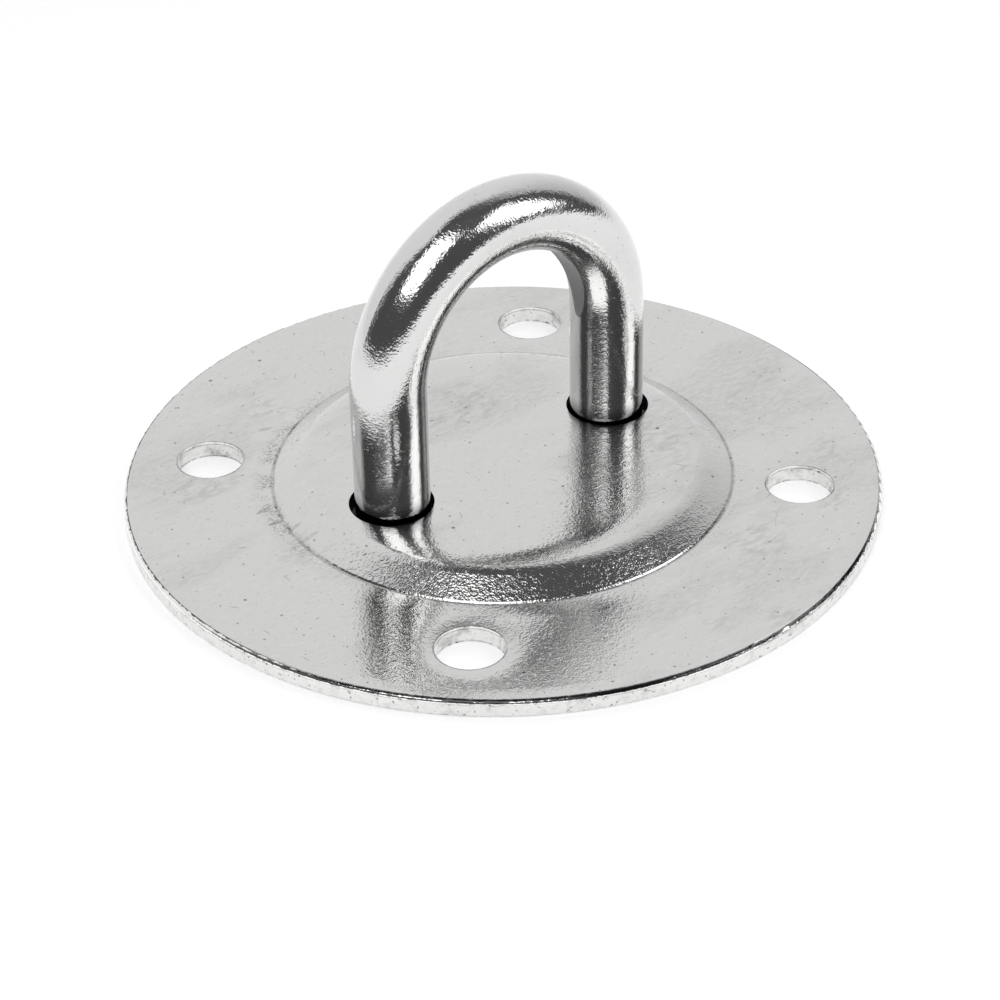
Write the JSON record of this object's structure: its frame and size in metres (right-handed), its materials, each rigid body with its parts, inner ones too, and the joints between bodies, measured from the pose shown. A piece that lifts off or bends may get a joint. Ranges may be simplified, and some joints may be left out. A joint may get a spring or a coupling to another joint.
{
  "type": "ceiling hook",
  "caption": "Ceiling hook: a round pressed steel plate with screw holes and a raised dish, through which a bent round bar stands out as a closed hanging loop.",
  "frame": {"origin": "centre of the plate's flat mounting face, the side that lies on the ceiling", "axes": "+Z from the mounting face out to the loop; +X from one leg of the loop to the other; the screw holes lie at 45 degrees to X"},
  "size_m": [0.102, 0.102, 0.0459],
  "materials": {
    "plate_steel": "polished stainless sheet with a fine worn grain",
    "bar_steel": "polished stainless round bar",
    "weld_steel": "dull rippled weld"
  },
  "bodies": {
    "root": {"base_plate": "plate_steel", "hanging_bar": "bar_steel", "weld_beads": "weld_steel"}
  },
  "joints": []
}
